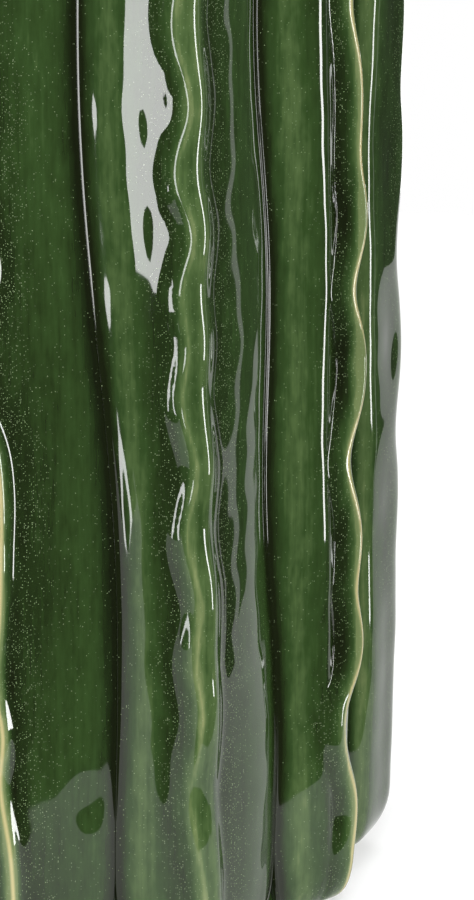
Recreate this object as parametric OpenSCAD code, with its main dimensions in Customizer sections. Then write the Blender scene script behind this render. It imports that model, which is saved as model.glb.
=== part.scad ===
// Tall hand-built stoneware vase: a slab cylinder on a footed floor slab, clad all round
// in upright folds of clay. Each fold is a strip luted to the wall edge to edge with its
// neighbours, rounded at both ends and finger-pinched into a wavy lip along its length.
// Millimetres, +Z up, origin on the vase's axis in the plane that it stands on.
// Angles are measured about +Z from the front (-Y), positive towards +X.

/* [Vase] */
// Height from the table to the top of the rim
overall_h = 345; // [260:1:420]
// Radius of the straight bore inside the wall
bore_r = 82; // [60:1:100]
// Thickness of the cylinder wall
wall_t = 6; // [5:0.5:9]
// Thickness of the floor slab
slab_t = 8; // [6:0.5:12]

/* [Foot and rim] */
// Height of the foot ring under the slab
foot_h = 4; // [3:0.5:8]
// Outer radius of the foot ring
foot_r = 84; // [60:1:86]
// Width of the foot ring
foot_w = 11; // [6:1:16]
// Radius of the coil pressed into the inside corner
corner_r = 6; // [3:0.5:10]
// Radius of the coil that finishes the rim
rim_r = 4.3; // [3:0.1:6]
// How far the rim coil is sunk onto the wall's edge below its own middle
rim_seat = 2.7; // [1:0.1:3]

/* [Folds] */
// Clay left over the wall at the crease between two folds
crease_h = 3; // [2:0.5:5]
// Rise of a fold's rounded body above the crease
body_h = 8; // [4:0.5:12]
// Fullness of that body: higher numbers make its sides steeper and its front flatter
body_power = 2.7; // [2:0.1:6]
// Rise of the pinched lip above the fold's body
lip_h = 6; // [2:0.5:8]
// Share of the half fold that the lip takes
lip_w = 0.26; // [0.15:0.01:0.4]
// Gap between the folds' lower ends and the table
fold_lift = 1.5; // [1:0.5:6]
// Gap between the folds' upper ends and the rim coil
fold_drop = 3; // [2:0.5:10]
// Radius that rounds off each end of a fold
end_r = 9; // [5:0.5:15]
// Thickness of the slip in the joints
slip_t = 0.15; // [0.1:0.05:0.3]
// Height between two sections of a fold
section_step = 10; // [8:1:20]

/* [Hidden] */
$fn = 128;

wall_r = bore_r + wall_t;
floor_z = foot_h + slab_t;
rim_z = overall_h - rim_r;
wall_top = rim_z - rim_seat;
crease_r = wall_r + crease_h;
fold_z0 = fold_lift;
fold_z1 = wall_top - fold_drop;
back_faces = 4;
taper_len = 110;
taper = 2.2;

// One crease on the left of each fold: angle at the foot, lean over the whole height,
// sway to each side, all in degrees, then the length and height of the sway in mm
CREASES = [
    [ -12.5, -4.0, 0.8, 150,  40],
    [  21.8, -8.5, 1.3, 210, 105],
    [  52.0, -6.5, 0.9, 115,  55],
    [  78.0, -3.0, 1.0, 170,  90],
    [ 107.5, -4.5, 1.2, 190,  20],
    [ 137.0, -2.0, 0.9, 140, 130],
    [ 167.5, -5.0, 1.1, 220,  75],
    [ 199.0, -3.5, 1.3, 160,  30],
    [ 228.5, -6.0, 0.8, 130, 110],
    [ 258.0, -2.5, 1.2, 200,  60],
    [ 288.5, -5.0, 1.0, 145, 140],
    [ 318.5, -3.0, 1.2, 175,  85]
];

// The lip of each fold: angle at the foot and lean over the height, in degrees, its wave
// to each side in mm, the length and height of the wave, and how much higher the fold
// starts and ends than its neighbours
LIPS = [
    [   5.2, -8.0, 1.2, 44, 100, 0.5, -1.5],
    [  33.2, -4.6, 1.5, 34, 187, 0.0,  0.5],
    [  63.8, -0.8, 1.9, 41, 144, 0.5, -0.5],
    [  92.0, -3.5, 1.3, 46, 140, 3.5, -2.0],
    [ 123.5, -3.0, 1.6, 37,  20, 1.0,  0.0],
    [ 152.5, -4.0, 1.2, 45,  90, 0.0, -2.5],
    [ 183.0, -2.0, 1.8, 35,  60, 2.0, -1.0],
    [ 214.5, -5.0, 1.4, 42,  10, 0.5,  0.5],
    [ 243.0, -3.0, 1.7, 38, 120, 1.5, -1.5],
    [ 273.5, -4.5, 1.3, 46,  70, 0.0, -0.5],
    [ 303.0, -2.5, 1.6, 36,  30, 2.5, -2.0],
    [ 333.0, -4.0, 1.5, 43, 110, 1.0,  0.0]
];

fold_count = len(LIPS);

function fold_name(i) = str("fold_", i < 9 ? "0" : "", i + 1);

// A point at a radius, angle and height
function polar(r, a, z) = [r * sin(a), -r * cos(a), z];

function degrees_of(arc, r) = arc / r * 180 / PI;

// Angle of crease i, which runs past the last fold to the first one a turn on
function crease_angle(i, z) =
    let (c = CREASES[i % fold_count], turn = i >= fold_count ? 360 : 0)
    turn + c[0] + c[1] * z / overall_h + c[2] * cos(360 * (z - c[4]) / c[3]);

// The lip waves sideways, and stands out furthest where it leans furthest to the right
function lip_wave(i, z) = let (l = LIPS[i]) l[2] * cos(360 * (z - l[4]) / l[3]);

function lip_angle(i, z) =
    let (l = LIPS[i])
    l[0] + l[1] * z / overall_h + degrees_of(lip_wave(i, z), crease_r + body_h);

// The folds thin a little towards the foot
function thinning(z) = taper * pow(max(0, 1 - z / taper_len), 2);

// Rise of the outside above the crease, from 0 at the lip to 1 at a crease
function rise(i, t, z) =
    body_h * (1 - pow(t, body_power)) - thinning(z) * (1 - t)
    + (lip_h + 0.5 * lip_wave(i, z)) * exp(-pow(t / lip_w, 2));

// How full the fold is, from 0 at its very end to 1 where its rounding stops
function fullness(d) = d >= end_r ? 1 : sqrt(1 - pow(1 - max(0, d) / end_r, 2));

// One closed section of fold i at height z: the outside from left to right, then the back
function section(i, z, d) =
    let (
        full = 0.3 + 0.7 * fullness(d),
        inset = degrees_of(slip_t / 2 + 3 * (1 - fullness(d)), crease_r),
        left = crease_angle(i, z) + inset,
        right = crease_angle(i + 1, z) - inset,
        lip = lip_angle(i, z),
        half_step = (right - left) / back_faces / 2,
        back_r = (wall_r + slip_t) / cos(half_step)
    )
    concat(
        [for (s = [-1, -0.95, -0.8, -0.5, -0.2, 0, 0.2, 0.5, 0.8, 0.95, 1])
            polar(
                back_r + crease_h * full + rise(i, abs(s), z) * full,
                s < 0 ? lip + s * (lip - left) : lip + s * (right - lip),
                z
            )],
        [for (k = [back_faces : -1 : 0]) polar(back_r, left + 2 * k * half_step, z)]
    );

// Distances of the sections from the fold's lower end: close together on the rounded
// ends, evenly spaced between them
function stations(length) =
    let (
        straight = length - 2 * end_r,
        steps = ceil(straight / section_step),
        round_off = [for (a = [0 : 30 : 60]) end_r * (1 - cos(a))]
    )
    concat(
        round_off,
        [for (k = [0 : steps]) end_r + straight * k / steps],
        [for (k = [2 : -1 : 0]) length - round_off[k]]
    );

// A solid through closed sections that all have the same number of points
module loft(sections) {
    rows = len(sections);
    n = len(sections[0]);
    polyhedron(
        points = [for (s = sections) each s],
        faces = concat(
            [[for (k = [0 : n - 1]) k]],
            [for (j = [0 : rows - 2], k = [0 : n - 1])
                [j * n + k, (j + 1) * n + k, (j + 1) * n + (k + 1) % n, j * n + (k + 1) % n]],
            [[for (k = [n - 1 : -1 : 0]) (rows - 1) * n + k]]
        ),
        convexity = 6
    );
}

// Unglazed ring that the vase stands on
module foot_ring() {
    color("tan")
    difference() {
        cylinder(r = foot_r, h = foot_h);
        translate([0, 0, -1]) cylinder(r = foot_r - foot_w, h = foot_h + 2);
    }
}

// Floor slab, which the wall stands on
module floor_slab() {
    color("tan")
    translate([0, 0, foot_h]) cylinder(r = wall_r, h = slab_t);
}

// Coil pressed into the corner between the floor and the wall
module corner_coil() {
    color("darkgreen")
    rotate_extrude()
    translate([bore_r - corner_r, floor_z])
    difference() {
        square(corner_r);
        translate([0, corner_r]) circle(r = corner_r);
    }
}

// Slab rolled into a cylinder
module wall_cylinder() {
    color("darkgreen")
    translate([0, 0, floor_z])
    difference() {
        cylinder(r = wall_r, h = wall_top - floor_z);
        translate([0, 0, -1]) cylinder(r = bore_r, h = wall_top - floor_z + 2);
    }
}

// Rounded coil on the wall's upper edge, flat where it is luted down
module rim_coil() {
    color("olivedrab")
    translate([0, 0, rim_z])
    rotate_extrude()
    translate([bore_r + 0.1 + rim_r, 0])
    intersection() {
        circle(r = rim_r);
        translate([-rim_r, -rim_seat]) square([2 * rim_r, rim_r + rim_seat]);
    }
}

// Upright fold of clay luted to the wall
module fold(i) {
    z0 = fold_z0 + LIPS[i][5];
    z1 = fold_z1 + LIPS[i][6];
    color("forestgreen")
    loft([for (d = stations(z1 - z0)) section(i, z0 + d, min(d, z1 - z0 - d))]);
}

foot_ring();
floor_slab();
corner_coil();
wall_cylinder();
rim_coil();
for (i = [0 : fold_count - 1])
    fold(i);
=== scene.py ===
"""Looks of a tall hand-built stoneware vase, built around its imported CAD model.

The CAD holds every piece's place and size. Here each clay fold gets its pinched and pooled
surface, the other pieces their hand-made unevenness, and all of them glaze or bare clay.
Metres throughout. Angles are about +Z from the front (-Y), positive towards +X.
"""
import math
from collections import namedtuple

import bpy
import numpy as np
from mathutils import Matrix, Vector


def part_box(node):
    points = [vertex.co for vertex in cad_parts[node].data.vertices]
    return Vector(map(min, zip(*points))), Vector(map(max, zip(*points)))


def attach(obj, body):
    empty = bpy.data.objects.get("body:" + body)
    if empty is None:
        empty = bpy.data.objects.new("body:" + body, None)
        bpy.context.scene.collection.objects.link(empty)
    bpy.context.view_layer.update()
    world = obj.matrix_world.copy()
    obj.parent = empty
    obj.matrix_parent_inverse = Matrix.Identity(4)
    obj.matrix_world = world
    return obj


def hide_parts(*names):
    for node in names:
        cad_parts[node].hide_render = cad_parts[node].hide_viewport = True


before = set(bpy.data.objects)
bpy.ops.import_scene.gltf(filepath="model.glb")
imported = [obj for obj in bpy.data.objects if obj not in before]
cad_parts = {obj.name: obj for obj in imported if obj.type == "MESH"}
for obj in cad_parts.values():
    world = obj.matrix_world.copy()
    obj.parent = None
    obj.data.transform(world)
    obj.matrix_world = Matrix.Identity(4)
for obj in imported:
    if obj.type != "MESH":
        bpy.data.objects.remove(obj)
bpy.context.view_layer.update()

MM = 0.001
BODY = "root"

# ---------------------------------------------------------------- the frame's own sizes

rim_lo, rim_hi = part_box("rim_coil")
wall_lo, wall_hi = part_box("wall_cylinder")
ring_lo, ring_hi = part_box("foot_ring")
coil_lo, coil_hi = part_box("corner_coil")

WALL_R = wall_hi.x
BORE_R = coil_hi.x
FOLDS = sorted(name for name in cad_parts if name.startswith("fold_"))

# ---------------------------------------------------------------- small maths


def polar(r, angle, z):
    """Points at a radius, angle and height."""
    r, angle, z = np.broadcast_arrays(r, angle, z)
    return np.stack([r * np.sin(angle), -r * np.cos(angle), z], axis=-1)


def smoothstep(x, low, high):
    t = np.clip((x - low) / (high - low), 0, 1)
    return t * t * (3 - 2 * t)


def bump(x, width):
    return np.exp(-((x / width) ** 2))


def spline(points, x):
    """A natural cubic spline through (x, y) points, held level past its ends."""
    px, py = np.array(points, float).T
    gap = np.diff(px)
    system = np.eye(len(px))
    target = np.zeros(len(px))
    for i in range(1, len(px) - 1):
        system[i, i - 1:i + 2] = gap[i - 1], 2 * (gap[i - 1] + gap[i]), gap[i]
        target[i] = 6 * ((py[i + 1] - py[i]) / gap[i] - (py[i] - py[i - 1]) / gap[i - 1])
    bend = np.linalg.solve(system, target)
    x = np.clip(x, px[0], px[-1])
    k = np.clip(np.searchsorted(px, x) - 1, 0, len(px) - 2)
    past, left, width = x - px[k], px[k + 1] - x, gap[k]
    return (
        (bend[k] * left ** 3 + bend[k + 1] * past ** 3) / (6 * width)
        + (py[k] / width - bend[k] * width / 6) * left
        + (py[k + 1] / width - bend[k + 1] * width / 6) * past
    )


def blurred(grid, rows, columns):
    """A grid smoothed along its rows and columns by that many cells."""
    for axis, size in ((0, rows), (1, columns)):
        reach = np.arange(-3 * size, 3 * size + 1)
        weights = np.exp(-0.5 * (reach / size) ** 2)
        weights /= weights.sum()
        pads = [(0, 0), (0, 0)]
        pads[axis] = (3 * size, 3 * size)
        padded = np.pad(grid, pads, mode="edge")
        grid = np.apply_along_axis(np.convolve, axis, padded, weights, mode="valid")
    return grid


# ---------------------------------------------------------------- materials


class Nodes:
    """Short calls for building a material's node tree."""

    def __init__(self, name):
        self.material = bpy.data.materials.new(name)
        self.material.use_nodes = True
        self.tree = self.material.node_tree
        self.shader = self.tree.nodes["Principled BSDF"]
        self.place = self.add("ShaderNodeTexCoord").outputs["Object"]

    def add(self, kind, **settings):
        node = self.tree.nodes.new(kind)
        for key, value in settings.items():
            setattr(node, key, value)
        return node

    def put(self, socket, value):
        if isinstance(value, bpy.types.NodeSocket):
            self.tree.links.new(value, socket)
        else:
            socket.default_value = value

    def math(self, operation, a, b):
        node = self.add("ShaderNodeMath", operation=operation)
        self.put(node.inputs[0], a)
        self.put(node.inputs[1], b)
        return node.outputs[0]

    def total(self, start, *terms):
        """start plus each value times its weight."""
        for value, weight in terms:
            start = self.math("ADD", start, self.math("MULTIPLY", value, weight))
        return start

    def layer(self, name):
        return self.add("ShaderNodeAttribute", attribute_name=name).outputs["Fac"]

    def noise(self, per_metre, detail, rough):
        """Noise with about that many features per metre along X, Y and Z."""
        stretch = self.add("ShaderNodeMapping")
        self.put(stretch.inputs["Vector"], self.place)
        stretch.inputs["Scale"].default_value = per_metre
        node = self.add("ShaderNodeTexNoise")
        self.put(node.inputs["Vector"], stretch.outputs["Vector"])
        node.inputs["Scale"].default_value = 1.0
        node.inputs["Detail"].default_value = detail
        node.inputs["Roughness"].default_value = rough
        return node.outputs["Fac"]

    def cells(self, per_metre):
        """Distance to the middle of the nearest cell, and that cell's own random colour."""
        node = self.add("ShaderNodeTexVoronoi")
        self.put(node.inputs["Vector"], self.place)
        node.inputs["Scale"].default_value = per_metre
        return node.outputs["Distance"], node.outputs["Color"]

    def ramp(self, factor, stops):
        node = self.add("ShaderNodeValToRGB")
        self.put(node.inputs["Fac"], factor)
        band = node.color_ramp
        while len(band.elements) < len(stops):
            band.elements.new(0.5)
        for element, (at, colour) in zip(band.elements, stops):
            element.position = at
            element.color = (*colour, 1)
        return node.outputs["Color"]

    def mix(self, factor, a, b):
        """Socket a's colour, turning into colour b."""
        node = self.add("ShaderNodeMix", data_type="RGBA")
        self.put(node.inputs["Factor"], factor)
        self.put(node.inputs["A"], a)
        self.put(node.inputs["B"], (*b, 1))
        return node.outputs["Result"]

    def remap(self, value, low, high, to_low, to_high):
        node = self.add("ShaderNodeMapRange", clamp=True)
        for socket, number in zip(node.inputs, (value, low, high, to_low, to_high)):
            self.put(socket, number)
        return node.outputs["Result"]

    def bump(self, height, distance, strength):
        node = self.add("ShaderNodeBump")
        self.put(node.inputs["Height"], height)
        node.inputs["Distance"].default_value = distance
        node.inputs["Strength"].default_value = strength
        self.put(self.shader.inputs["Normal"], node.outputs["Normal"])


DEEP = (0.0055, 0.0085, 0.002)
DARK = (0.011, 0.022, 0.005)
GREEN = (0.021, 0.045, 0.011)
LIGHT = (0.055, 0.092, 0.030)
PALE = (0.135, 0.170, 0.070)
TAN = (0.42, 0.36, 0.18)
GLAZE_STOPS = [(0.0, DEEP), (0.24, DARK), (0.46, GREEN), (0.66, LIGHT), (0.84, PALE), (1.0, TAN)]
# Only a bare edge is paler than this tone
PALEST = 0.78
SPECK = (0.21, 0.27, 0.15)

BUFF_STOPS = [(0.3, (0.27, 0.19, 0.12)), (0.6, (0.42, 0.32, 0.22)), (0.8, (0.55, 0.45, 0.33))]
TOASTED = (0.30, 0.17, 0.09)
IRON = (0.06, 0.035, 0.02)


def glaze(name, base, folds=False):
    """Glossy green glaze: deep where it pools, pale and tan where it breaks over an edge. On the
    folds it is also darkened by painted shade near their ends.
    """
    n = Nodes(name)
    streaks = n.noise((900, 900, 45), 3.0, 0.6)
    clouds = n.noise((70, 70, 14), 3.0, 0.55)
    mottles = n.noise((420, 420, 160), 2.0, 0.6)
    tone = n.total(base, (streaks, 0.26), (clouds, 0.34), (mottles, 0.30))
    if folds:
        tone = n.total(
            tone,
            (n.layer("hollow"), -0.62),
            # The crease layer also carries painted shade near both ends of each fold
            (n.layer("crease"), -0.20),
            (n.layer("beside"), -0.09),
            (n.layer("lip"), 0.24),
            (n.layer("shoulder"), 0.26),
        )
        tone = n.total(n.math("MINIMUM", tone, PALEST), (n.layer("bare"), 0.20))

    # Light specks of undissolved glaze, thickest beside the lips
    distance, own_colour = n.cells(2200)
    chosen = n.add("ShaderNodeSeparateColor")
    n.put(chosen.inputs["Color"], own_colour)
    patches = n.noise((90, 90, 40), 2.0, 0.5)
    amount = n.math("MULTIPLY", patches, 0.12)
    if folds:
        amount = n.total(amount, (n.math("MULTIPLY", n.layer("speckle"), patches), 0.9))
    dots = n.math("LESS_THAN", distance, 0.30)
    some = n.math("LESS_THAN", chosen.outputs["Red"], amount)
    faint = n.remap(chosen.outputs["Green"], 0.0, 1.0, 0.15, 0.7)
    speck = n.math("MULTIPLY", n.math("MULTIPLY", dots, some), faint)

    n.put(n.shader.inputs["Base Color"], n.mix(speck, n.ramp(tone, GLAZE_STOPS), SPECK))
    n.put(n.shader.inputs["Roughness"], n.remap(clouds, 0.3, 0.7, 0.02, 0.05))
    n.shader.inputs["IOR"].default_value = 1.47
    n.bump(n.noise((140, 140, 60), 1.0, 0.4), 0.12 * MM, 0.5)
    return n.material


def bare_clay():
    """Buff unglazed stoneware with grog, toasted patches and iron spots."""
    n = Nodes("bare_clay")
    grain = n.noise((900, 900, 900), 4.0, 0.7)
    patches = n.noise((45, 45, 45), 3.0, 0.6)
    colour = n.mix(n.remap(patches, 0.4, 0.7, 0.0, 0.5), n.ramp(grain, BUFF_STOPS), TOASTED)
    distance, _ = n.cells(320)
    colour = n.mix(n.math("LESS_THAN", distance, 0.16), colour, IRON)
    n.put(n.shader.inputs["Base Color"], colour)
    n.put(n.shader.inputs["Roughness"], n.remap(grain, 0.3, 0.7, 0.75, 0.95))
    n.bump(grain, 0.3 * MM, 0.6)
    return n.material


# What each of the record's material slots shows
FINISHES = {
    "green_glaze": glaze("green_glaze", -0.16, folds=True),
    "inner_glaze": glaze("inner_glaze", -0.04),
    "rim_glaze": glaze("rim_glaze", 0.2),
    "bare_clay": bare_clay(),
}

# ---------------------------------------------------------------- meshes


def make_piece(node, slot, points, faces, layers=None):
    """A smooth-shaded piece that replaces a CAD node, with the finish of that slot."""
    name = f"{node}_clay"
    mesh = bpy.data.meshes.new(name)
    mesh.vertices.add(len(points))
    mesh.vertices.foreach_set("co", np.asarray(points, np.float32).ravel())
    sizes = np.array([len(f) for f in faces], np.int32)
    corners = np.concatenate([np.asarray(f, np.int32) for f in faces])
    mesh.loops.add(len(corners))
    mesh.loops.foreach_set("vertex_index", corners)
    mesh.polygons.add(len(faces))
    mesh.polygons.foreach_set("loop_start", np.cumsum(sizes) - sizes)
    mesh.polygons.foreach_set("use_smooth", np.ones(len(faces), bool))
    mesh.update(calc_edges=True)
    mesh.materials.append(FINISHES[slot])
    for layer, values in (layers or {}).items():
        attribute = mesh.attributes.new(layer, "FLOAT", "POINT")
        attribute.data.foreach_set("value", np.asarray(values, np.float32).ravel())
    piece = bpy.data.objects.new(name, mesh)
    bpy.context.scene.collection.objects.link(piece)
    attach(piece, BODY)
    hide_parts(node)


def ring_faces(rings, columns, closed=False):
    """Quads through a row of rings of points, with the last joined to the first if closed.

    They face outwards if the rings run anticlockwise and are stacked upwards.
    """
    j, k = np.meshgrid(np.arange(rings if closed else rings - 1), np.arange(columns), indexing="ij")
    here, above = j * columns, (j + 1) % rings * columns
    beside = (k + 1) % columns
    quads = [here + k, here + beside, above + beside, above + k]
    return np.stack(quads, axis=-1).reshape(-1, 4).tolist()


# ---------------------------------------------------------------- the folds' shapes

# How far a finger pushed each seen lip to the right of its own line, going up, in mm:
# (height, push)
SEEN_PUSHES = {
    "fold_01": [
        (0, 0), (25, 0.4), (37, 0.1), (55, -1.0), (65, 0), (78, -1.1), (90, 0.1), (110, 1.7),
        (140, 1.4),
    ],
    "fold_02": [
        (0, 0), (22, 1.0), (46, -1.4), (67, 1.1), (80, -0.1), (94, 1.4), (113, -1.3), (128, 1.3),
        (146, -1.5), (160, 0.1), (173, -1.1), (186, 1.7), (201, -1.4), (216, 1.8), (237, -1.2),
    ],
    "fold_03": [
        (0, -0.5), (14, -1.4), (30, 0.2), (50, -4.0), (72, 1.8), (85, -0.3), (99, 1.0), (121, -2.4),
        (144, 3.8), (163, -1.4), (182, 2.6), (196, 0.4), (207, 0.8), (221, 0), (236, -2.4),
    ],
    "fold_04": [
        (0, 0), (30, 0), (50, 0.6), (69, 0.8), (82, -0.4), (99, 1.0), (116, -2.0), (140, 1.6),
        (163, -2.0), (190, 1.4), (205, -0.8), (229, 1.4),
    ],
}
# The other lips, and the upper part of these, are pushed about as often and as far
PUSH_STEP = (15, 24)
PUSH_SIZE = (0.7, 2.4)

# A fold's shape. Of its ridge, in mm: the height, how far its left slope reaches, its width on
# top, how soft its right edge is and where its left edge lies from the CAD's lip line, then how
# far the right edge follows the pushes. Of its body: the height in mm at shares of the way from
# the left crease to the ridge, and from the right crease to the ridge.
Shape = namedtuple("Shape", "height reach width soft start follow left right")
SEEN_SHAPES = {
    "fold_01": Shape(
        3.4, 3.4, 2.0, 0.8, -1.6, 0.9,
        [(0, 0), (0.1, 2.2), (0.4, 5.6), (0.7, 8.2), (0.85, 8.4), (1, 8.4)],
        [(0, 0), (0.08, 1.0), (0.4, 3.8), (0.7, 6.6), (0.9, 8.2), (1, 8.4)],
    ),
    "fold_02": Shape(
        3.0, 2.4, 7.0, 0.9, -3.4, 0.2,
        [(0, 0), (0.07, 1.2), (0.14, 2.5), (0.22, 3.85), (0.31, 5.1), (0.4, 6.1), (0.47, 6.75),
         (0.58, 7.65), (0.68, 8.55), (0.76, 9.1), (0.85, 9.1), (1, 9.0)],
        [(0, 0), (0.08, 1.35), (0.2, 2.8), (0.4, 4.9), (0.65, 7.1), (0.87, 8.7), (1, 9.0)],
    ),
    "fold_03": Shape(
        5.2, 5.0, 2.0, 0.6, -0.4, 0.8,
        [(0, 0), (0.08, 1.5), (0.2, 3.3), (0.35, 5.2), (0.48, 6.6), (0.58, 7.45), (0.66, 7.7),
         (0.76, 7.3), (0.86, 6.8), (1, 6.8)],
        [(0, 0), (0.08, 1.0), (0.4, 3.8), (0.7, 6.4), (0.9, 7.6), (1, 7.8)],
    ),
    "fold_04": Shape(
        4.4, 7.0, 5.0, 2.4, -1.0, 0.7,
        [(0, 0), (0.12, 4.6), (0.3, 7.4), (0.5, 8.4), (0.8, 8.4), (1, 8.4)],
        [(0, 0), (0.08, 1.0), (0.4, 3.8), (0.7, 6.6), (0.9, 8.2), (1, 8.4)],
    ),
}
# The folds whose ridge climbs evenly out of a crease, and not out of a hollow
CREASED = ("fold_03", "fold_05", "fold_09", "fold_12")
# How much thinner a fold is at the foot, in mm
THINNING = 2.0
SEEN_THINNING = {"fold_03": 0.3, "fold_04": 2.6}
# Dents and bulges of the seen folds: height, distance right of the lip line, depth (negative
# for a bulge), half width and half height, in mm
SEEN_DENTS = {
    "fold_01": [
        (112, 18.5, -0.45, 2.6, 7), (66, 13, 0.35, 6, 9), (44, 17, 0.55, 5, 7),
        (36, 23, -0.4, 4, 6), (28, 9, 0.5, 5, 6), (150, 9, 0.3, 6, 22),
    ],
    "fold_02": [
        (214, -8.8, 0.27, 2.2, 7), (186, -8.4, 0.31, 2.7, 10), (222, -7.5, -0.4, 3.0, 12),
        (96, -12, 0.35, 4, 22), (74, -6, 0.5, 3, 9), (46, -6, 0.6, 3, 8),
    ],
    "fold_03": [
        (190, -4.4, 0.3, 2.0, 7), (118, -4, 0.5, 3, 9), (60, -9, 0.4, 6, 20),
        (24, -10, 0.5, 3, 6), (40, -14, -0.4, 4, 8),
    ],
    "fold_04": [(120, -6, 0.4, 6, 14)],
}
# Waves of the hand-rolled strips, in mm: size, length up the fold, and reach to the right for
# each radian
STRIP_WAVES = [(0.22, 93, 12), (0.12, 57, -8), (0.035, 23, 4), (0.02, 15, -3)]

SEED = 40
RANDOM_DENTS = 9

ROW_STEP = 1.25 * MM
END_ROWS = 10
LEFT_COLUMNS = 56
RIGHT_COLUMNS = 52
BACK_COLUMNS = 12
CROWDING = 0.11
# The sections of a CAD fold between its rounded ends
STRAIGHT = slice(4, -4)

CREASE_H = 3 * MM
CREASE_R = WALL_R + CREASE_H
BACK_R = WALL_R + 0.16 * MM
FILLET = 1.1 * MM
# A fold thins towards the foot below this height
THINNING_TOP = 110 * MM
# The waves and dents fade out this near a crease
CALM = 7 * MM
# The length over which each end is rounded in profile, and the thickness left at the very end
END_R = 13 * MM
END_SHARE = 0.4
# The length over which each end narrows seen from the front, and by how much on each side
TONGUE_LENGTH = 24 * MM
TONGUE_INSET = 6 * MM
# How softly the two halves of a body meet, and how sharp the corners of an even climb are
BODY_BLEND = 1.2 * MM
CORNER = 6
# Past the flat top from its left edge, a ridge falls away by this times the distance squared
FLAT_TOP = 2.5 * MM
RIDGE_FALL = 30
# Share of a push to the right by which the ridge also rises
PUSH_RISE = 0.35


def all_pushes(node, top, rng):
    """The lip's pushes as (height, push to the right) in metres, up to the fold's top."""
    pushes = list(SEEN_PUSHES.get(node, [(0, 0)]))
    side = -1 if pushes[-1][1] > 0 else 1
    while pushes[-1][0] * MM < top:
        step = rng.uniform(*PUSH_STEP)
        pushes.append((pushes[-1][0] + step, side * rng.uniform(*PUSH_SIZE)))
        side = -side
    return [(z * MM, push * MM) for z, push in pushes]


def random_shape(rng):
    """A fold's shape like the seen ones."""
    top = rng.uniform(8.0, 8.8)
    lobe = rng.uniform(-0.2, 0.6)
    lobe_at = rng.uniform(0.66, 0.78)
    left = [
        (0, 0), (0.1, rng.uniform(1.6, 3.0)), (0.36, rng.uniform(4.4, 5.8)),
        (lobe_at, top + lobe), (0.89, top + 0.3 * lobe), (1, top),
    ]
    right = [
        (0, 0), (0.08, 1.0), (0.4, rng.uniform(3.4, 4.4)), (0.7, rng.uniform(6.2, 7.2)),
        (0.9, top - 0.25), (1, top),
    ]
    height, reach = rng.uniform(3.2, 4.4), rng.uniform(3.2, 4.6)
    width, soft = rng.uniform(2.0, 6.0), rng.uniform(0.7, 1.2)
    return Shape(height, reach, width, soft, -0.6, rng.uniform(0.3, 0.9), left, right)


def random_dents(rng, top):
    """Dents and bulges like the seen ones, anywhere up to the fold's top."""
    return [
        (rng.uniform(10, top / MM), rng.uniform(-13, 15), rng.uniform(-0.35, 0.45),
         rng.uniform(2.6, 5), rng.uniform(6, 18))
        for _ in range(RANDOM_DENTS)
    ]


# ---------------------------------------------------------------- the folds' meshes


def fold_lines(node):
    """Heights, and the angles of the left crease, lip and right crease, from the CAD fold."""
    co = np.array([v.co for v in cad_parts[node].data.vertices])
    angle = np.arctan2(co[:, 0], -co[:, 1])
    middle = math.atan2(np.sin(angle).mean(), np.cos(angle).mean())
    angle = middle + (angle - middle + math.pi) % (2 * math.pi) - math.pi
    radius = np.hypot(co[:, 0], co[:, 1])
    heights = np.unique(np.round(co[:, 2], 5))
    lines = []
    for z in heights:
        at = np.abs(co[:, 2] - z) < 0.1 * MM
        lines.append((angle[at].min(), angle[at][radius[at].argmax()], angle[at].max()))
    return heights, np.array(lines)


def row_places(length):
    """Distances of the rows of points from a fold's lower end, closer at its very ends."""
    turn = np.linspace(0, math.pi / 2, END_ROWS + 1)[:-1]
    first = END_R * (1 - np.cos(turn))
    straight = length - 2 * END_R
    middle = END_R + straight * np.linspace(0, 1, int(straight / ROW_STEP) + 1)
    return np.concatenate([first, middle, length - first[::-1]])


def rounding(end, length):
    """From 0 at a fold's very end to 1 at that length from it, as a quarter of an oval."""
    return np.sqrt(1 - (1 - np.clip(end / length, 0, 1)) ** 2)


def crowded(count):
    """Numbers from 0 to 1, closer together at both ends."""
    spread = np.linspace(0, 1, count + 1)
    return spread - CROWDING * np.sin(2 * math.pi * spread)


def from_crease(d, width):
    """Share of the way from a rounded crease, at distance d from it, to the lip's line."""
    d = np.clip(d, 0, width)
    return (np.sqrt(d * d + FILLET ** 2) - FILLET) / (np.sqrt(width ** 2 + FILLET ** 2) - FILLET)


def hollowness(outer_r, columns, z):
    """Curvature of the outside per mm, smoothed: positive where it is hollow and glaze pools."""
    span = np.maximum(np.gradient(columns, axis=1) * CREASE_R, 0.02 * MM)
    level = blurred(outer_r, 2, 2)
    across = np.gradient(np.gradient(level, axis=1) / span, axis=1) / span
    upward = np.gradient(np.gradient(level, z, axis=0), z, axis=0)
    bend = np.clip((across + 0.8 * upward) * MM, -0.6, 0.6)
    return 0.5 * blurred(bend, 2, 2) + 1.2 * blurred(bend, 3, 6)


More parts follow.
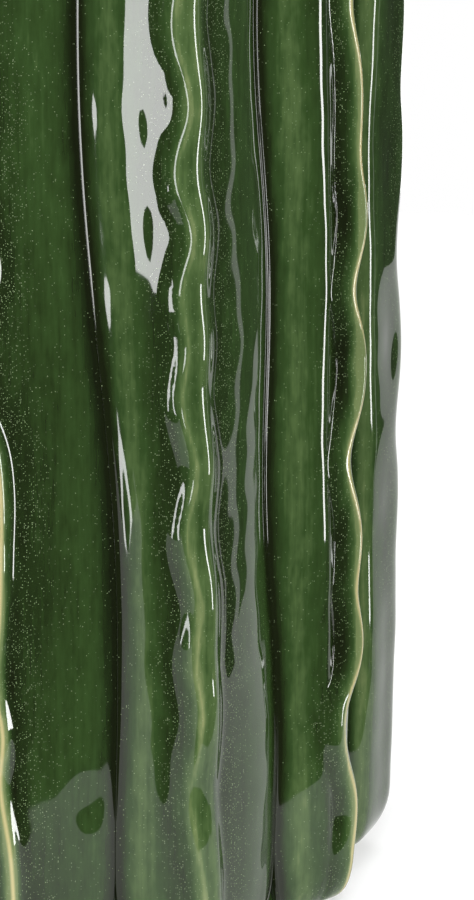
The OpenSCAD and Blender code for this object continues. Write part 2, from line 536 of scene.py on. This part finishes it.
def build_fold(node, number):
    """A closed stack of rings, each with the fold's outside from left to right, then its back."""
    rng = np.random.default_rng(SEED + number)
    heights, lines = fold_lines(node)
    bottom, top = heights[0], heights[-1]
    along = row_places(top - bottom)[:, None]
    end = np.minimum(along, top - bottom - along)
    z = bottom + along

    # The CAD's creases, its lip line with the coarse wave taken out, and the pushes
    heights, lines = heights[STRAIGHT], lines[STRAIGHT]
    left = spline(list(zip(heights, lines[:, 0])), z)
    right = spline(list(zip(heights, lines[:, 2])), z)
    lip = np.polyval(np.polyfit(heights, lines[:, 1], 2), z)
    push = spline(all_pushes(node, top, rng), z)
    shape = SEEN_SHAPES.get(node) or random_shape(rng)

    # Columns crowd at the lip and the creases
    tongue = TONGUE_INSET * (1 - rounding(end, TONGUE_LENGTH)) / CREASE_R
    left, right = left + tongue, right - tongue
    columns = np.concatenate([
        left + (lip - left) * crowded(LEFT_COLUMNS),
        lip + (right - lip) * crowded(RIGHT_COLUMNS)[1:],
    ], axis=1)

    # Distances in the surface, to the right of the lip's mean line and of its pushed edges
    reach, width, start = shape.reach * MM, shape.width * MM, shape.start * MM
    v = (columns - lip) * CREASE_R
    past_l = v - start - push
    past_r = v - start - width - shape.follow * push

    # The body: one curve up from each crease, blended under the ridge
    share_l = from_crease((columns - left) * CREASE_R, (lip - left) * CREASE_R)
    share_r = from_crease((right - columns) * CREASE_R, (right - lip) * CREASE_R)
    over = 1 / (1 + np.exp(-v / BODY_BLEND))
    body = ((1 - over) * spline(shape.left, share_l) + over * spline(shape.right, share_r)) * MM
    to_crease = np.minimum(columns - left, right - columns) * CREASE_R
    away = smoothstep(to_crease, 0, CALM)

    # The ridge: a slope up to its crest, then a flat top that drops off
    if node in CREASED:
        climb = np.maximum(1 - np.log1p(np.exp(-CORNER * past_l / reach)) / CORNER, 0)
    else:
        climb = bump(np.minimum(past_l, 0), reach)
    drop = 1 / (1 + np.exp(past_r / (shape.soft * MM)))
    fall = RIDGE_FALL * np.clip(past_l - FLAT_TOP, 0, width) ** 2
    ridge = ((shape.height * MM + PUSH_RISE * push) * climb - fall) * drop

    # Unevenness of the hand-rolled strip. Six phases are drawn, and the waves use the first four.
    phases = rng.uniform(0, 2 * math.pi, 6)
    waves = MM * sum(
        size * np.sin(2 * math.pi * z / (length * MM) + phase + v / (across * MM))
        for (size, length, across), phase in zip(STRIP_WAVES, phases)
    )
    dents = MM * sum(
        depth * bump(v - side * MM, half_w * MM) * bump(z - at * MM, half_h * MM)
        for at, side, depth, half_w, half_h in SEEN_DENTS.get(node) or random_dents(rng, top)
    )
    low = np.clip(1 - z / THINNING_TOP, 0, 1) ** 2
    thin = SEEN_THINNING.get(node, THINNING) * MM * low * share_l * share_r
    height = body + waves * away ** 2 + ridge - dents * away - thin

    full = END_SHARE + (1 - END_SHARE) * rounding(end, END_R)
    outer_r = BACK_R + (CREASE_H + np.maximum(height, 0)) * full
    back = polar(BACK_R, left + (right - left) * np.linspace(1, 0, BACK_COLUMNS), z)
    points = np.concatenate([polar(outer_r, columns, z), back], axis=1)
    rows, count = points.shape[:2]
    faces = ring_faces(rows, count)
    faces.append(list(range(count))[::-1])
    faces.append(list(range((rows - 1) * count, rows * count)))

    # Where the glaze is dark, pale or speckled, and where shade is painted near the fold ends. It
    # breaks less on a wide ridge.
    crest_share, edge_share = min(1, 4 * MM / width), min(1, 3 * MM / width)
    outside = {
        "hollow": hollowness(outer_r, columns, z[:, 0]),
        "lip": climb ** 2 * drop * crest_share,
        "bare": bump(past_l - 0.2 * MM, 0.55 * MM) * edge_share,
        # The crease layer darkens along the creases. Its second term paints shade over both ends of
        # each fold, standing in for the shaded floor that the feet reflect.
        "crease": bump(to_crease, np.where(v < 0, 1.4, 2.4) * MM) + 0.8 * bump(end, 8 * MM),
        "beside": bump(past_l + 4 * MM, 2.4 * MM) + 0.8 * bump(past_r - 2.6 * MM, 2.2 * MM),
        "shoulder": np.where(v < 0, 1, 0.4) * bump(body - 3.6 * MM, 2.6 * MM),
        "speckle": bump(past_r - 4 * MM, 5 * MM) + 0.7 * bump(past_l + 4 * MM, 3.5 * MM),
    }
    layers = {name: np.pad(grid, ((0, 0), (0, BACK_COLUMNS))) for name, grid in outside.items()}
    make_piece(node, "green_glaze", points.reshape(-1, 3), faces, layers)


for number, node in enumerate(FOLDS, 1):
    build_fold(node, number)

# ---------------------------------------------------------------- the turned pieces

TURNS = 256


def revolve(node, slot, outline, wobble=None):
    """A ring round +Z through an anticlockwise (radius, height) outline, moved by wobble."""
    turn = np.linspace(0, 2 * math.pi, TURNS, endpoint=False)
    r, z = np.array(outline).T[:, :, None]
    if wobble:
        out, up = wobble(turn, r, z)
        r, z = r + out, z + up
    faces = ring_faces(len(outline), TURNS, closed=True)
    make_piece(node, slot, polar(r, turn, z).reshape(-1, 3), faces)


def arc_points(centre_r, centre_z, radius, start, stop, count):
    turn = np.radians(np.linspace(start, stop, count))
    return [(centre_r + radius * math.cos(t), centre_z + radius * math.sin(t)) for t in turn]


def side_points(corners, counts):
    """A closed outline through corners, with each side cut into its own number of steps."""
    return [
        (r0 + (r1 - r0) * k / count, z0 + (z1 - z0) * k / count)
        for (r0, z0), (r1, z1), count in zip(corners, corners[1:] + corners[:1], counts)
        for k in range(count)
    ]


def slab_marks(turn, r, z):
    """The inside of the wall keeps the roller's long waves. Its ends stay true."""
    inside = smoothstep(WALL_R - r, 0.5 * (WALL_R - BORE_R), WALL_R - BORE_R)
    hold = smoothstep(np.minimum(z - wall_lo.z, wall_hi.z - z), 0, 12 * MM)
    wave = (
        np.sin(7 * turn + 25 * z)
        + 0.6 * np.sin(13 * turn - 60 * z)
        + 0.8 * np.sin(170 * z + 2 * turn)
    )
    return 0.25 * MM * wave * inside * hold, 0


def coil_marks(turn, r, z):
    """The rim coil's upper side is uneven from the fingers that rolled and pressed it."""
    wave = 0.22 * np.sin(23 * turn) + 0.2 * np.sin(9 * turn + 1) + 0.12 * np.sin(41 * turn)
    out = 0.6 * MM * wave * smoothstep(z, rim_lo.z + 1 * MM, rim_hi.z)
    return out, out * np.cos(5 * turn)


# Round the wall from the top of its bore, going down
wall_corners = [
    (BORE_R, wall_hi.z), (BORE_R, wall_lo.z), (WALL_R, wall_lo.z), (WALL_R, wall_hi.z),
]
revolve("wall_cylinder", "inner_glaze", side_points(wall_corners, (160, 4, 40, 4)), slab_marks)

# The rim coil sits this far outside the bore
RIM_SET_OUT = 0.1 * MM
rim_r = (rim_hi.x - BORE_R - RIM_SET_OUT) / 2
rim_mid = rim_hi.z - rim_r
# How many degrees below its middle the coil is cut off by its flat seat
seat = math.degrees(math.asin((rim_mid - rim_lo.z) / rim_r))
rim_outline = arc_points(rim_hi.x - rim_r, rim_mid, rim_r, -seat, 180 + seat, 28)
revolve("rim_coil", "rim_glaze", rim_outline, coil_marks)

coil_r = coil_hi.z - coil_lo.z
coil_face = arc_points(BORE_R - coil_r, coil_hi.z, coil_r, 0, -90, 12)
revolve("corner_coil", "inner_glaze", [(BORE_R, coil_lo.z)] + coil_face)

# Each lower edge of the foot ring is rubbed round with two facets
RING_W = 11 * MM
RUBBED = 0.8 * MM
ring_in, ring_out, ring_foot = ring_hi.x - RING_W, ring_hi.x, ring_lo.z
revolve("foot_ring", "bare_clay", [
    (ring_in, ring_hi.z),
    (ring_in, ring_foot + RUBBED),
    (ring_in + 0.3 * RUBBED, ring_foot + 0.3 * RUBBED),
    (ring_in + RUBBED, ring_foot),
    (ring_out - RUBBED, ring_foot),
    (ring_out - 0.3 * RUBBED, ring_foot + 0.3 * RUBBED),
    (ring_out, ring_foot + RUBBED),
    (ring_out, ring_hi.z),
])

slab_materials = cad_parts["floor_slab"].data.materials
slab_materials.clear()
slab_materials.append(FINISHES["inner_glaze"])

# ---------------------------------------------------------------- stage

scene = bpy.context.scene
scene.view_settings.view_transform = "Standard"

paper = Nodes("white_paper")
paper.shader.inputs["Base Color"].default_value = (0.45, 0.45, 0.45, 1)
paper.shader.inputs["Roughness"].default_value = 0.9
paper.shader.inputs["Emission Color"].default_value = (1, 1, 1, 1)
paper.shader.inputs["Emission Strength"].default_value = 0.55

# A flat board, whose front edge runs slantwise past the vase: the glaze reflects it only low down
BOARD = [(-0.165, -0.40), (0.37, 0.065), (0.62, 0.42), (0.5, 0.75), (-0.45, 0.9)]
board_mesh = bpy.data.meshes.new("floor")
board_mesh.from_pydata([(x, y, 0) for x, y in BOARD], [], [tuple(range(len(BOARD)))])
board_mesh.materials.append(paper.material)
board = bpy.data.objects.new("floor", board_mesh)
scene.collection.objects.link(board)

# The surroundings are white to the camera and dim to the glaze
world = bpy.data.worlds.new("studio")
scene.world = world
world.use_nodes = True
tree = world.node_tree
tree.nodes.clear()
path = tree.nodes.new("ShaderNodeLightPath")
sky = tree.nodes.new("ShaderNodeMixShader")
tree.links.new(path.outputs["Is Camera Ray"], sky.inputs["Fac"])
for socket, grey in ((sky.inputs[1], 0.07), (sky.inputs[2], 1)):
    background = tree.nodes.new("ShaderNodeBackground")
    background.inputs["Color"].default_value = (grey, grey, grey, 1)
    tree.links.new(background.outputs["Background"], socket)
world_out = tree.nodes.new("ShaderNodeOutputWorld")
tree.links.new(sky.outputs["Shader"], world_out.inputs["Surface"])


def light_panel(name, size, radiance, place, turn):
    """An area light of that size and radiance, which the camera doesn't see."""
    light = bpy.data.lights.new(name, "AREA")
    light.shape = "RECTANGLE"
    light.size, light.size_y = size
    light.energy = math.pi * radiance * size[0] * size[1]
    panel = bpy.data.objects.new(name, light)
    panel.location = place
    panel.rotation_euler = turn
    panel.visible_camera = False
    scene.collection.objects.link(panel)


def softbox(name, azimuth, distance, low, high, width, radiance):
    """An upright light panel that faces the vase's axis, between two heights."""
    turn = math.radians(azimuth)
    place = (distance * math.sin(turn), -distance * math.cos(turn), (low + high) / 2)
    light_panel(name, (width, high - low), radiance, place, (math.radians(90), 0, turn))


softbox("key", 6.5, 0.75, -0.02, 0.8, 0.235, 13)
softbox("left_strip", -41, 1.1, -0.28, 0.9, 0.05, 14)
softbox("right_strip", 82, 1.15, -0.22, 0.9, 0.12, 20)
softbox("right_card", 106, 1.15, -0.5, 0.9, 0.06, 1.3)
softbox("back_strip", 160, 1.2, -0.3, 0.9, 0.16, 5)
light_panel("top", (1.2, 1.2), 5.5, (0, 0, 1.5), (0, 0, 0))

# ---------------------------------------------------------------- camera

# The camera stands in front, right of the axis, and looks straight back, about 15 degrees down
AIM_Z = 110 * MM
CAMERA_BACK = 1.2
CAMERA_RIGHT = 61.6 * MM
CAMERA_UP = 430 * MM
VIEW_HEIGHT = 234 * MM
SENSOR = 36

drop_to_aim = CAMERA_UP - AIM_Z
lens = bpy.data.cameras.new("camera")
lens.sensor_width = SENSOR
lens.lens = SENSOR * math.hypot(CAMERA_BACK, drop_to_aim) / VIEW_HEIGHT
camera = bpy.data.objects.new("camera", lens)
camera.location = (CAMERA_RIGHT, -CAMERA_BACK, CAMERA_UP)
camera.rotation_euler = (math.pi / 2 - math.atan2(drop_to_aim, CAMERA_BACK), 0, 0)
scene.collection.objects.link(camera)
scene.camera = camera
